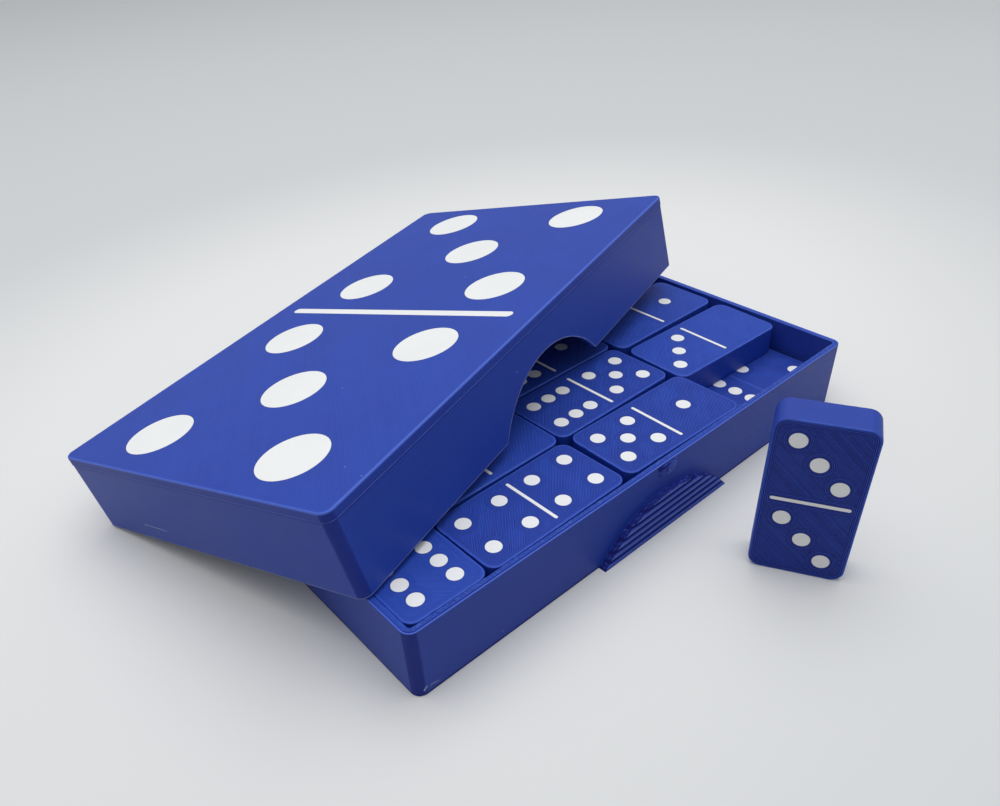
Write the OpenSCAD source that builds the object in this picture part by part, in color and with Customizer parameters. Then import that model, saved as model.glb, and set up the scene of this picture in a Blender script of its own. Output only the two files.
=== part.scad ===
// Domino storage box: a printed tray, a lift-off lid dressed as a giant domino, and a
// double-six set of dominoes. The box stands open, its lid leaning on the rim.
// X runs along the box, Y to its back and Z up. The origin is under the middle of the tray.

/* [Dominoes] */
// Side of the nominal square that makes half of a domino
square_side = 25; // [24:0.5:30]
// Height that one layer of dominoes takes up
layer_h = 10; // [8:0.5:14]
// Amount by which each domino is smaller than its nominal size
tile_play = 0.2; // [0.1:0.05:0.4]
// Radius of a domino's corners, seen from above
tile_corner = 3.5; // [1:0.5:5]
// Radius of a domino's pips
tile_pip_r = 2.3; // [1.5:0.1:2.6]
// Distance of the outer pips from the middle of their half, along the domino
tile_pip_along = 6.4; // [5.5:0.1:7]
// Distance of the outer pips from the middle of their half, across the domino
tile_pip_across = 6; // [5:0.1:7]
// Length of a domino's dividing bar
tile_bar_l = 19.8; // [12:0.2:21]
// Width of a domino's dividing bar
tile_bar_w = 1.1; // [0.8:0.1:2]
// Depth of the white inlays in a domino
tile_inlay_t = 0.8; // [0.4:0.1:2]

/* [Tray] */
// Thickness of the tray's walls
wall = 2; // [1.6:0.1:3]
// Thickness of the tray's floor
floor_t = 2.8; // [1.6:0.1:5]
// Free room left along the tray beside the dominoes
end_room = 3.4; // [3:0.1:8]
// Free room left across the tray beside the dominoes
side_room = 3; // [2.8:0.1:8]
// Height of the rim above the top layer's nominal height
rim_over = 0.2; // [0.1:0.1:4]
// Radius of the tray's outer corners
tray_corner = 3; // [2.5:0.5:4.5]
// Radius of the tray's inner corners
tray_in_corner = 1.5; // [1:0.25:3]

/* [Grips] */
// Width of each grip at the table
grip_w = 55; // [40:1:70]
// Height of each grip
grip_h = 13.8; // [10:0.2:17]
// Number of grooves in each grip
grooves = 5; // [3:1:6]
// Distance from one groove to the next
groove_pitch = 2.5; // [1.9:0.1:2.6]
// Depth of the grooves
groove_depth = 0.7; // [0.3:0.05:1]
// Height of the lowest groove
groove_first = 2; // [1.2:0.1:3]

/* [Snap bumps] */
// Width of each snap bump
snap_w = 8; // [5:0.5:14]
// Height of each snap bump
snap_h = 4.3; // [3:0.1:6]
// Distance that each snap bump stands out of the tray's wall
snap_out = 0.9; // [0.6:0.05:1.2]
// Distance from the rim to the middle of each snap bump
snap_down = 2.7; // [2.6:0.1:6]
// Gap all round each snap bump in its recess
snap_gap = 0.3; // [0.1:0.05:0.5]

/* [Lid] */
// Thickness of the lid's walls
lid_wall = 2; // [1.8:0.1:3]
// Thickness of the lid's top
lid_top = 3.4; // [2:0.2:5]
// Gap between the lid's walls and the tray's
lid_gap = 0.4; // [0.3:0.05:0.8]
// Radius of the lid's outer corners
lid_corner = 3; // [2:0.5:6.5]
// Gap between the lid's arches and the grips
arch_gap = 0.6; // [0.3:0.1:1.5]
// Radius of the lid's pips
lid_pip_r = 10.15; // [7:0.05:12]
// Distance from the lid's middle to the middle of each half
lid_half_at = 48.2; // [46:0.2:52]
// Distance of the outer pips from the middle of their half, both ways
lid_pip_out = 28.7; // [24:0.1:30]
// Length of the lid's dividing bar
lid_bar_l = 95.5; // [70:0.5:100]
// Width of the lid's dividing bar
lid_bar_w = 3.3; // [2:0.1:6]
// Depth of the white inlays in the lid
lid_inlay_t = 1; // [0.6:0.1:1.6]
// Gap round every white inlay
inlay_gap = 0.05; // [0.02:0.01:0.1]

/* [How it stands] */
// Direction of the leaning lid's length, in degrees from the tray's
lean_turn = 16.4; // [12:0.2:22]
// Distance along the lid's end from its front corner to where that end meets the tray's rim
lean_over = 6; // [4:0.5:20]
// Distance of the lid's low corner behind the tray
lean_back = 12.4; // [8:0.2:20]
// Gap between the lid and the rim that it leans on
lean_gap = 0.4; // [0.3:0.05:0.8]
// Place of the standing domino along the tray
stand_x = 9; // [-60:1:60]
// Distance from the tray's front to the standing domino's face
stand_away = 38; // [30:1:60]
// Direction of the standing domino's width, in degrees
stand_turn = -61.6; // [-80:0.2:-20]

/* [Hidden] */
$fn = 64;
eps = 0.01;
over = 1;
blue = [0.16, 0.22, 0.62];
white = [0.92, 0.92, 0.90];

columns = 7;
layers = 2;
tile_l = 2 * square_side - tile_play;
tile_w = square_side - tile_play;
tile_t = layer_h - tile_play;
half_at = square_side / 2;

tray_in_l = columns * square_side + end_room;
tray_in_w = 4 * square_side + side_room;
tray_l = tray_in_l + 2 * wall;
tray_w = tray_in_w + 2 * wall;
tray_h = floor_t + layers * layer_h + rim_over;
low_z = floor_t + tile_play;
top_z = low_z + layer_h;

// A grip is the part of a disc above the table: this radius gives it its width and height.
grip_r = (pow(grip_w / 2, 2) + pow(grip_h, 2)) / (2 * grip_h);
grip_z = grip_h - grip_r;
grip_out = lid_wall + lid_gap;

// Each snap bump is shared by a lying and an upright cylinder.
snap_lying_r = (pow(snap_h / 2, 2) + pow(snap_out, 2)) / (2 * snap_out);
snap_upright_r = (pow(snap_w / 2, 2) + pow(snap_out, 2)) / (2 * snap_out);
snap_z = tray_h - snap_down;

lid_in_l = tray_l + 2 * lid_gap;
lid_in_w = tray_w + 2 * lid_gap;
lid_l = lid_in_l + 2 * lid_wall;
lid_w = lid_in_w + 2 * lid_wall;
lid_h = tray_h + lid_top;
lid_in_corner = tray_corner + lid_gap;

// The lid leans with one low corner at the table and two walls on the tray's rim. Its up
// direction follows from those three points, worked out again until it settles.
heading = [cos(lean_turn), sin(lean_turn), 0];
low_corner = [
    -tray_l / 2 - lid_wall * cos(lean_turn) - (lid_w - lean_over) * sin(lean_turn),
    tray_w / 2 + lean_back,
    0
];
rest_z = tray_h + lean_gap;
function unit(v) = v / norm(v);
function along(up) = unit(heading - (heading * up) * up);
function across(up) = cross(up, along(up));
function end_line(up, at) = low_corner + at * along(up);
function left_rest(up, p, v) = [-tray_l / 2, p.y - v.y * (p.x + tray_l / 2) / v.x, rest_z];
function back_rest(up, p, v) = [p.x - v.x * (p.y - tray_w / 2) / v.y, tray_w / 2, rest_z];
function new_up(up) = unit(cross(
    left_rest(up, end_line(up, lid_wall), across(up)) - low_corner,
    back_rest(up, end_line(up, lid_l - lid_wall), across(up)) - low_corner
));
function settled_up(rounds, up) = rounds == 0 ? up : settled_up(rounds - 1, new_up(up));
settling_rounds = 12;
lid_up = settled_up(settling_rounds, [0, 0, 1]);
lid_u = along(lid_up);
lid_v = across(lid_up);
lid_angles = [atan2(lid_v.z, lid_up.z), -asin(lid_u.z), atan2(lid_u.y, lid_u.x)];
lid_middle = low_corner + lid_u * lid_l / 2 - lid_v * lid_w / 2;

// Which piece to show

// ---------- Shapes that repeat ----------

module rounded_rect(l, w, r) {
    square([l - 2 * r, w], center = true);
    square([l, w - 2 * r], center = true);
    for (a = [-1, 1], b = [-1, 1])
        translate([a * (l / 2 - r), b * (w / 2 - r)])
            circle(r);
}

module rounded_block(l, w, h, r) {
    linear_extrude(h)
        rounded_rect(l, w, r);
}

// A bar lying across a domino, with round ends.
module bar(l, w, h) {
    linear_extrude(h) {
        square([w, l - w], center = true);
        for (b = [-1, 1])
            translate([0, b * (l - w) / 2])
                circle(w / 2);
    }
}

// Places of a half's pips, counted in steps from its middle: [along, across].
corners = [for (a = [-1, 1], b = [-1, 1]) [a, b]];
middle = [0, 0];
function spots(n) =
    n == 1 ? [middle] :
    n == 2 ? [corners[0], corners[3]] :
    n == 3 ? [corners[0], middle, corners[3]] :
    n == 4 ? corners :
    n == 5 ? concat(corners, [middle]) :
    n == 6 ? concat(corners, [[0, -1], [0, 1]]) : [];

module pips(left, right, at, step_along, step_across, r, h) {
    for (half = [[-1, left], [1, right]], s = spots(half[1]))
        translate([half[0] * at + s.x * step_along, s.y * step_across, 0])
            cylinder(r = r, h = h);
}

module both_sides() {
    children();
    rotate([0, 0, 180])
        children();
}

// ---------- Tray ----------

// A disc standing on edge across the box, cut off at the table.
module arch(r, depth) {
    intersection() {
        translate([0, 0, grip_z])
            rotate([90, 0, 0])
                cylinder(r = r, h = depth, center = true, $fn = 128);
        translate([-r, -depth, 0])
            cube([2 * r, 2 * depth, r]);
    }
}

module grip() {
    difference() {
        translate([0, -tray_w / 2 - grip_out / 2 + wall / 4, 0])
            arch(grip_r, grip_out + wall / 2);
        for (n = [0 : grooves - 1])
            translate([0, -tray_w / 2 - grip_out, groove_first + n * groove_pitch])
                rotate([45, 0, 0])
                    cube([grip_w + 2 * over, groove_depth * sqrt(2), groove_depth * sqrt(2)],
                         center = true);
    }
}

// A low lens on the tray's wall, grown by gap for its recess in the lid.
module snap(gap) {
    depth = snap_out + gap;
    translate([0, -tray_w / 2, snap_z])
        intersection() {
            translate([0, snap_lying_r - snap_out, 0])
                rotate([0, 90, 0])
                    cylinder(r = snap_lying_r + gap, h = snap_w + 2 * over, center = true);
            translate([0, snap_upright_r - snap_out, 0])
                cylinder(r = snap_upright_r + gap, h = snap_h + 2 * over, center = true);
            translate([-snap_w, -depth - over, -snap_h / 2 - gap])
                cube([2 * snap_w, depth + over + wall / 2, snap_h + 2 * gap]);
        }
}

module tray() {
    color(blue)
        difference() {
            union() {
                rounded_block(tray_l, tray_w, tray_h, tray_corner);
                both_sides()
                    grip();
                both_sides()
                    snap(0);
            }
            translate([0, 0, floor_t])
                rounded_block(tray_in_l, tray_in_w, tray_h, tray_in_corner);
        }
}

// ---------- Lid, drawn closed over the tray, then leant on the rim ----------

module leant() {
    translate(lid_middle)
        rotate(lid_angles)
            children();
}

module lid_pip_set(r, h) {
    translate([0, 0, lid_h - lid_inlay_t])
        pips(5, 5, lid_half_at, lid_pip_out, lid_pip_out, r, h);
}

module lid_shell() {
    color(blue)
        leant()
            difference() {
                rounded_block(lid_l, lid_w, lid_h, lid_corner);
                translate([0, 0, -over])
                    rounded_block(lid_in_l, lid_in_w, tray_h + over, lid_in_corner);
                translate([0, 0, grip_z])
                    rotate([90, 0, 0])
                        cylinder(r = grip_r + arch_gap, h = lid_w + 2 * over, center = true, $fn = 128);
                both_sides()
                    snap(snap_gap);
                lid_pip_set(lid_pip_r, lid_inlay_t + over);
                translate([0, 0, lid_h - lid_inlay_t])
                    bar(lid_bar_l, lid_bar_w, lid_inlay_t + over);
            }
}

module lid_pips() {
    color(white)
        leant()
            lid_pip_set(lid_pip_r - inlay_gap, lid_inlay_t);
}

module lid_bar() {
    color(white)
        leant()
            translate([0, 0, lid_h - lid_inlay_t])
                bar(lid_bar_l - 2 * inlay_gap, lid_bar_w - 2 * inlay_gap, lid_inlay_t);
}

// ---------- Dominoes, each lying with its face up and its length along X ----------

module tile_pips(left, right, r, h) {
    translate([0, 0, tile_t - tile_inlay_t])
        pips(left, right, half_at, tile_pip_along, tile_pip_across, r, h);
}

module tile_bar(gap, h) {
    translate([0, 0, tile_t - tile_inlay_t])
        bar(tile_bar_l - 2 * gap, tile_bar_w - 2 * gap, h);
}

module tile(left, right) {
    color(blue)
        difference() {
            rounded_block(tile_l, tile_w, tile_t, tile_corner);
            tile_pips(left, right, tile_pip_r, tile_inlay_t + over);
            tile_bar(0, tile_inlay_t + over);
        }
}

module tile_inlay(left, right) {
    color(white) {
        tile_pips(left, right, tile_pip_r - inlay_gap, tile_inlay_t);
        tile_bar(inlay_gap, tile_inlay_t);
    }
}

// Columns of the top layer: 0 holds dominoes across the tray, 1 to 3 along it.
function column_x(column) =
    column == 0 ? -tray_in_l / 2 + square_side / 2
                : -tray_in_l / 2 + 2 * square_side * column;
function row_y(row) = (row - 1.5) * tray_in_w / 4;

module top_along(column, row, dx = 0, dy = 0, turn = 0) {
    translate([column_x(column) + dx, row_y(row) + dy, top_z])
        rotate([0, 0, turn])
            children();
}

module top_across(side, dx = 0, dy = 0, turn = 0) {
    translate([column_x(0) + dx, side * square_side + dy, top_z])
        rotate([0, 0, 90 + turn])
            children();
}

// The bottom layer, from the left: the two halves of each domino, front half first.
front_low = [[0, 0], [4, 5], [1, 1], [0, 5], [2, 2], [6, 4], [2, 5]];
back_low = [[1, 3], [0, 6], [5, 5], [1, 2], [4, 3], [6, 6], [0, 4]];
function low_halves(column, side) = side < 0 ? front_low[column] : back_low[column];

module low(column, side) {
    translate([(column - (columns - 1) / 2) * square_side, side * square_side, low_z])
        rotate([0, 0, 90])
            children();
}

module low_tile(column, side) {
    halves = low_halves(column, side);
    low(column, side)
        tile(halves[0], halves[1]);
}

module standing() {
    translate([stand_x, -tray_w / 2 - stand_away, tile_l / 2])
        rotate([0, 0, stand_turn])
            rotate([0, -90, 90])
                translate([0, 0, -tile_t])
                    children();
}

// ---------- The loose dominoes: each lies a little askew in its place ----------

module place_6_3() {
    top_across(-1, 0.15, -1.3, -0.3)
        children();
}

module domino_6_3() {
    place_6_3()
        tile(6, 3);
}

module inlay_6_3() {
    place_6_3()
        tile_inlay(6, 3);
}

module place_2_6() {
    top_across(1, 0.15, -0.5, 0)
        children();
}

module domino_2_6() {
    place_2_6()
        tile(2, 6);
}

module inlay_2_6() {
    place_2_6()
        tile_inlay(2, 6);
}

module place_4_4() {
    top_along(1, 0, 0.4, 0.1, 0.6)
        children();
}

module domino_4_4() {
    place_4_4()
        tile(4, 4);
}

module inlay_4_4() {
    place_4_4()
        tile_inlay(4, 4);
}

module place_5_1() {
    top_along(2, 0, 2.15, 0.15, -1.1)
        children();
}

module domino_5_1() {
    place_5_1()
        tile(5, 1);
}

module inlay_5_1() {
    place_5_1()
        tile_inlay(5, 1);
}

module place_2_0() {
    top_along(1, 1, 0.3, 0.1, 0)
        children();
}

module domino_2_0() {
    place_2_0()
        tile(2, 0);
}

module inlay_2_0() {
    place_2_0()
        tile_inlay(2, 0);
}

module place_6_5() {
    top_along(2, 1, 0.6, 0.25, 0.4)
        children();
}

module domino_6_5() {
    place_6_5()
        tile(6, 5);
}

module inlay_6_5() {
    place_6_5()
        tile_inlay(6, 5);
}

module place_3_0() {
    top_along(3, 1, 1.7, -5.2, -1.8)
        children();
}

module domino_3_0() {
    place_3_0()
        tile(3, 0);
}

module inlay_3_0() {
    place_3_0()
        tile_inlay(3, 0);
}

module place_4_2() {
    top_along(1, 2, 0.3, 0.1, 0)
        children();
}

module domino_4_2() {
    place_4_2()
        tile(4, 2);
}

module inlay_4_2() {
    place_4_2()
        tile_inlay(4, 2);
}

module place_6_1() {
    top_along(2, 2, 1.2, 0.2, 0)
        children();
}

module domino_6_1() {
    place_6_1()
        tile(6, 1);
}

module inlay_6_1() {
    place_6_1()
        tile_inlay(6, 1);
}

module place_0_1() {
    top_along(3, 2, 1.8, -4, 0)
        children();
}

module domino_0_1() {
    place_0_1()
        tile(0, 1);
}

module inlay_0_1() {
    place_0_1()
        tile_inlay(0, 1);
}

module place_5_3() {
    top_along(1, 3, 0.4, 0.1, 0)
        children();
}

module domino_5_3() {
    place_5_3()
        tile(5, 3);
}

module inlay_5_3() {
    place_5_3()
        tile_inlay(5, 3);
}

module place_3_2() {
    top_along(2, 3, 1.5, 0.1, 0)
        children();
}

module domino_3_2() {
    place_3_2()
        tile(3, 2);
}

module inlay_3_2() {
    place_3_2()
        tile_inlay(3, 2);
}

module place_1_4() {
    top_along(3, 3, 1.9, -0.8, 0)
        children();
}

module domino_1_4() {
    place_1_4()
        tile(1, 4);
}

module inlay_1_4() {
    place_1_4()
        tile_inlay(1, 4);
}

module place_3_3() {
    standing()
        children();
}

module domino_3_3() {
    place_3_3()
        tile(3, 3);
}

module inlay_3_3() {
    place_3_3()
        tile_inlay(3, 3);
}

// ---------- The bottom layer ----------

module domino_0_0() {
    low_tile(0, -1);
}

module domino_4_5() {
    low_tile(1, -1);
}

module domino_1_1() {
    low_tile(2, -1);
}

module domino_0_5() {
    low_tile(3, -1);
}

module domino_2_2() {
    low_tile(4, -1);
}

module domino_6_4() {
    low_tile(5, -1);
}

module domino_2_5() {
    low_tile(6, -1);
}

module domino_1_3() {
    low_tile(0, 1);
}

module domino_0_6() {
    low_tile(1, 1);
}

module domino_5_5() {
    low_tile(2, 1);
}

module domino_1_2() {
    low_tile(3, 1);
}

module domino_4_3() {
    low_tile(4, 1);
}

module domino_6_6() {
    low_tile(5, 1);
}

module domino_0_4() {
    low_tile(6, 1);
}

module low_pips() {
    color(white)
        for (column = [0 : columns - 1], side = [-1, 1]) {
            halves = low_halves(column, side);
            low(column, side)
                tile_pips(halves[0], halves[1], tile_pip_r - inlay_gap, tile_inlay_t);
        }
}

module low_bars() {
    color(white)
        for (column = [0 : columns - 1], side = [-1, 1])
            low(column, side)
                tile_bar(inlay_gap, tile_inlay_t);
}

tray();
lid_shell();
lid_pips();
lid_bar();
domino_6_3();
inlay_6_3();
domino_2_6();
inlay_2_6();
domino_4_4();
inlay_4_4();
domino_5_1();
inlay_5_1();
domino_2_0();
inlay_2_0();
domino_6_5();
inlay_6_5();
domino_3_0();
inlay_3_0();
domino_4_2();
inlay_4_2();
domino_6_1();
inlay_6_1();
domino_0_1();
inlay_0_1();
domino_5_3();
inlay_5_3();
domino_3_2();
inlay_3_2();
domino_1_4();
inlay_1_4();
domino_3_3();
inlay_3_3();
domino_0_0();
domino_4_5();
domino_1_1();
domino_0_5();
domino_2_2();
domino_6_4();
domino_2_5();
domino_1_3();
domino_0_6();
domino_5_5();
domino_1_2();
domino_4_3();
domino_6_6();
domino_0_4();
low_pips();
low_bars();
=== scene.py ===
# %% [markdown]
# # Domino storage box
# The box is 3-D printed: a shallow tray, a lid made like a giant domino, and a
# double-six set of small dominoes. The frame of solids is loaded first; every blue
# piece is then modelled again with soft edges, and each surface gets its finish.

# %% Frame
from math import cos, radians, sin, sqrt
import bmesh
import bpy
from mathutils import Matrix, Vector


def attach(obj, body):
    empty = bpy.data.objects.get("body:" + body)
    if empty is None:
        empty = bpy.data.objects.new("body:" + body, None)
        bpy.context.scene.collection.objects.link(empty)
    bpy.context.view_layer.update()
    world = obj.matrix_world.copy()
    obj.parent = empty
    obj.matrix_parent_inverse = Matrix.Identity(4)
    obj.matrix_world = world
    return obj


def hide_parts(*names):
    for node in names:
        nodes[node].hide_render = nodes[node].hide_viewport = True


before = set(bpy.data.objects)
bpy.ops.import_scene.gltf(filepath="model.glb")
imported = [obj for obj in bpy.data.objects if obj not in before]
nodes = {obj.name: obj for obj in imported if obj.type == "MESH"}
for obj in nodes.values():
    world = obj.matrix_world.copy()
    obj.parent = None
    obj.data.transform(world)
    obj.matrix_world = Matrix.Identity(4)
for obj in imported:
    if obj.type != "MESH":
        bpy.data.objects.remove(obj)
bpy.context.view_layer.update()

# %% [markdown]
# ## Sizes
# The same sizes as in the solids, in millimetres. A helper turns them into metres
# where they meet Blender, so that the numbers stay readable.

# %% Sizes
MM = 0.001
SQUARE, LAYER, PLAY = 25.0, 10.0, 0.2
TILE_L, TILE_W, TILE_T = 2 * SQUARE - PLAY, SQUARE - PLAY, LAYER - PLAY
TILE_CORNER, TILE_EDGE = 3.5, 0.45
PIP_R, PIP_ALONG, PIP_ACROSS, HALF_AT = 2.3, 6.4, 6.0, SQUARE / 2
BAR_L, BAR_W, INLAY_T = 19.8, 1.1, 0.8

WALL, FLOOR_T = 2.0, 2.8
TRAY_IN_L, TRAY_IN_W = 7 * SQUARE + 3.4, 4 * SQUARE + 3.0
TRAY_L, TRAY_W = TRAY_IN_L + 2 * WALL, TRAY_IN_W + 2 * WALL
TRAY_H = FLOOR_T + 2 * LAYER + 0.2
TRAY_CORNER = 3.0
LOW_Z = FLOOR_T + PLAY
TOP_Z = LOW_Z + LAYER

LID_WALL, LID_TOP, LID_GAP = 2.0, 3.4, 0.4
LID_L = TRAY_L + 2 * (LID_GAP + LID_WALL)
LID_W = TRAY_W + 2 * (LID_GAP + LID_WALL)
LID_H = TRAY_H + LID_TOP
LID_CORNER, LID_IN_CORNER = 3.0, TRAY_CORNER + LID_GAP
LID_PIP_R, LID_HALF_AT, LID_PIP_OUT = 10.15, 48.2, 28.7
LID_BAR_L, LID_BAR_W, LID_INLAY_T = 95.5, 3.3, 1.0
BAND_H, BAND_OUT = 3.0, 0.12

GRIP_W, GRIP_H, GRIP_OUT, ARCH_GAP = 55.0, 13.8, LID_WALL + LID_GAP, 0.6
GRIP_R = (GRIP_W ** 2 / 4 + GRIP_H ** 2) / (2 * GRIP_H)
GRIP_Z = GRIP_H - GRIP_R
GROOVES, GROOVE_FIRST, GROOVE_PITCH, GROOVE_DEPTH = 5, 2.0, 2.5, 0.7
SNAP_W, SNAP_H, SNAP_OUT, SNAP_GAP, SNAP_Z = 8.0, 4.3, 0.9, 0.3, TRAY_H - 2.7

TRAY_EDGE, TRAY_FOOT, LID_EDGE, LID_FOOT, GROOVE_EDGE = 0.25, 0.3, 0.6, 0.08, 0.12
PIP_SIDES, LID_PIP_SIDES, ARC_SIDES = 40, 96, 160
print(f"tray {TRAY_L:.1f} x {TRAY_W:.1f} x {TRAY_H:.1f} mm, lid {LID_L:.1f} x {LID_W:.1f} x {LID_H:.1f} mm")

# %% [markdown]
# ## Shader maths
# A printed surface is mostly arithmetic: how far a point is from a pip, which track
# of the nozzle it lies on. One small class wraps a socket, so that this arithmetic
# can be written as plain expressions.

# %% Shader maths
class Val:
    """A number that varies over a surface: the output socket of a node."""

    def __init__(self, paint, socket):
        self.paint, self.socket = paint, socket

    def _math(self, kind, *others):
        return self.paint.node("ShaderNodeMath", {"operation": kind}, dict(enumerate((self, *others))))

    def __add__(self, other): return self._math("ADD", other)
    def __radd__(self, other): return self._math("ADD", other)
    def __sub__(self, other): return self._math("SUBTRACT", other)
    def __rsub__(self, other): return self * -1.0 + other
    def __mul__(self, other): return self._math("MULTIPLY", other)
    def __rmul__(self, other): return self._math("MULTIPLY", other)
    def __truediv__(self, other): return self._math("DIVIDE", other)
    def __gt__(self, other): return self._math("GREATER_THAN", other)
    def __lt__(self, other): return self._math("LESS_THAN", other)
    def __abs__(self): return self._math("ABSOLUTE")

    def least(self, other): return self._math("MINIMUM", other)
    def most(self, other): return self._math("MAXIMUM", other)
    def floor(self): return self._math("FLOOR")
    def part(self): return self._math("FRACT")
    def root(self): return self._math("SQRT")
    def rest(self, other): return self._math("FLOORED_MODULO", other)


class Paint:
    """A material in the making."""

    def __init__(self, name, **settings):
        self.material = bpy.data.materials.new(name)
        self.material.use_nodes = True
        self.tree = self.material.node_tree
        self.shader = self.tree.nodes["Principled BSDF"]
        for label, value in settings.items():
            self.shader.inputs[label.replace("_", " ").title().replace("Ior", "IOR")].default_value = value

    def node(self, kind, settings=None, inputs=None, out=0):
        made = self.tree.nodes.new(kind)
        for label, value in (settings or {}).items():
            setattr(made, label, value)
        for label, value in (inputs or {}).items():
            if isinstance(value, Val):
                self.tree.links.new(value.socket, made.inputs[label])
            else:
                made.inputs[label].default_value = value
        return Val(self, made.outputs[out])

    def parts(self, vector):
        first = self.node("ShaderNodeSeparateXYZ", inputs={0: vector})
        return [Val(self, first.socket.node.outputs[i]) for i in range(3)]

    def ramp(self, value, low, high):
        """0 below low, 1 above high, straight between."""
        return self.node("ShaderNodeMapRange", {"clamp": True}, {0: value, 1: low, 2: high, 3: 0.0, 4: 1.0})

    def colours(self, factor, first, second):
        return self.node("ShaderNodeMix", {"data_type": "RGBA"}, {0: factor, 6: first, 7: second}, out=2)

    def noise(self, vector, scale, detail=2.0, rough=0.5):
        return self.node("ShaderNodeTexNoise", {"noise_dimensions": "3D"},
                         {"Vector": vector, "Scale": scale, "Detail": detail, "Roughness": rough})

    def chance(self, value):
        """A random number from 0 to 1 for each whole value."""
        return self.node("ShaderNodeTexWhiteNoise", {"noise_dimensions": "1D"}, {"W": value})

    def bump(self, height, strength, distance, normal=None):
        inputs = {"Height": height, "Strength": strength, "Distance": distance}
        if normal is not None:
            inputs["Normal"] = normal
        return self.node("ShaderNodeBump", inputs=inputs)

    def feed(self, **links):
        for label, value in links.items():
            self.tree.links.new(value.socket, self.shader.inputs[label.replace("_", " ")])
        return self.material

print("shader helpers ready")

# %% [markdown]
# ## Printed plastic
# Every blue surface is the same plastic. What differs is how the nozzle passed over
# it: level layers on a wall, and on a flat face a few tracks that follow each outline
# with slanting tracks between them. Shade in grooves, corners and recesses, darker
# upright sides and highlights on edges are painted into the colour too. Each blue piece
# carries its own untilted place as an attribute, in millimetres, so that its tracks turn
# with it when it leans.

# %% Plastic colours
# Dark blue for real grooves and seams, and for painted shade in valleys, corners, recesses and at the foot
# of walls.
GROOVE_AND_SHADE_BLUE = (0.001, 0.004, 0.160, 1)
DEEP = (0.006, 0.030, 0.300, 1)
LIGHT = (0.019, 0.084, 0.560, 1)
# Lighter blue for painted highlights along edges and ribs.
HIGHLIGHT_BLUE = (0.055, 0.135, 0.700, 1)
# Pale blue for rough crumbs and worn rib ends, and for painted highlights on lips, top edges and the snap
# lens.
WORN_AND_HIGHLIGHT_BLUE = (0.110, 0.190, 0.720, 1)
# Near-white for dust specks and scratches, and for a painted pale highlight along the lid's foot and arch.
DUST_AND_HIGHLIGHT = (0.50, 0.56, 0.78, 1)
SHEEN = 0.36
TRACK = 0.42
PRINT_LAYER = 0.2
OUTLINE_TRACKS = 4.0


def hypot(a, b):
    return (a * a + b * b).root()


def from_border(x, y, length, width, corner):
    """How far a point lies inside a rectangle with round corners."""
    in_x = abs(x) - (length / 2 - corner)
    in_y = abs(y) - (width / 2 - corner)
    return corner - hypot(in_x.most(0.0), in_y.most(0.0)) - in_x.most(in_y).least(0.0)


def at_corner(x, y, length, width, corner):
    """1 on the round part of an upright corner, 0 on the flat walls."""
    bend = (abs(x) - (length / 2 - corner)).least(abs(y) - (width / 2 - corner))
    return bend.most(0.0).least(0.6) / 0.6


def ridge_of(track):
    """1 in the middle of each track, 0 in the valley between two."""
    return 1.0 - abs(track.part() - 0.5) * 2.0


def dust(paint, place, cell=7.0, size=0.16):
    """Sparse pale specks, a few tenths of a millimetre across."""
    near = paint.node("ShaderNodeTexVoronoi", {"feature": "F1", "voronoi_dimensions": "3D"},
                      {"Vector": place, "Scale": 1 / cell, "Randomness": 1.0})
    tone = Val(paint, near.socket.node.outputs["Color"])
    some = paint.parts(tone)[0] > 0.45
    return (near * cell < size) * some


def scratch(x, y, z, start, end, bend, thick=0.09):
    """A hair-fine pale scratch between two points, bent upwards by bend at its middle."""
    (x0, y0, z0), (x1, y1, z1) = start, end
    long = sqrt((x1 - x0) ** 2 + (y1 - y0) ** 2 + (z1 - z0) ** 2)
    ux, uy, uz = (x1 - x0) / long, (y1 - y0) / long, (z1 - z0) / long
    along = (x - x0) * ux + (y - y0) * uy + (z - z0) * uz
    held = along.most(0.0).least(long)
    arc = held * (long - held) * (4 * bend / long ** 2)
    dx, dy, dz = x - x0 - held * ux, y - y0 - held * uy, z - z0 - held * uz - arc
    return (dx * dx + dy * dy + dz * dz).root() < thick


def finish_plastic(paint, place, height, tone, depth, groove_and_shade=None, edge=None, worn_and_highlight=None, marks=None):
    """Joins tracks, tone, painted shade in grooves and shaded places, painted highlights on soft edges,
    wear, marks and dust into one plastic. depth is in metres.
    """
    cloud = paint.noise(place, 0.045, 3.0)
    colour = paint.colours(paint.ramp(tone + (cloud - 0.5) * 0.4, 0.0, 1.0), DEEP, LIGHT)
    # groove_and_shade darkens grooves and seams, and paints shade where a piece would be shaded.
    if groove_and_shade is not None:
        colour = paint.colours(groove_and_shade, colour, GROOVE_AND_SHADE_BLUE)
    # edge is a painted highlight along soft edges and ribs.
    if edge is not None:
        colour = paint.colours(edge, colour, HIGHLIGHT_BLUE)
    # worn_and_highlight mixes real wear and crumbs with painted highlights.
    if worn_and_highlight is not None:
        colour = paint.colours(worn_and_highlight, colour, WORN_AND_HIGHLIGHT_BLUE)
    # The marks can carry a painted highlight as well as scratches.
    specks = dust(paint, place)
    if marks is not None:
        specks = specks.most(marks)
    colour = paint.colours(specks * 0.8, colour, DUST_AND_HIGHLIGHT)
    grain = paint.noise(place, 3.0, 2.0)
    rough = 0.36 + 0.14 * cloud + 0.05 * tone
    if groove_and_shade is not None:
        rough = rough + groove_and_shade * 0.4
    lines = paint.bump(height, 1.0, depth)
    normal = paint.bump(grain, 0.10, 0.00012, lines)
    return paint.feed(Base_Color=colour, Roughness=rough, Normal=normal)


def own_place(paint):
    return paint.node("ShaderNodeAttribute", {"attribute_name": "print_mm"}, out=1)


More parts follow.
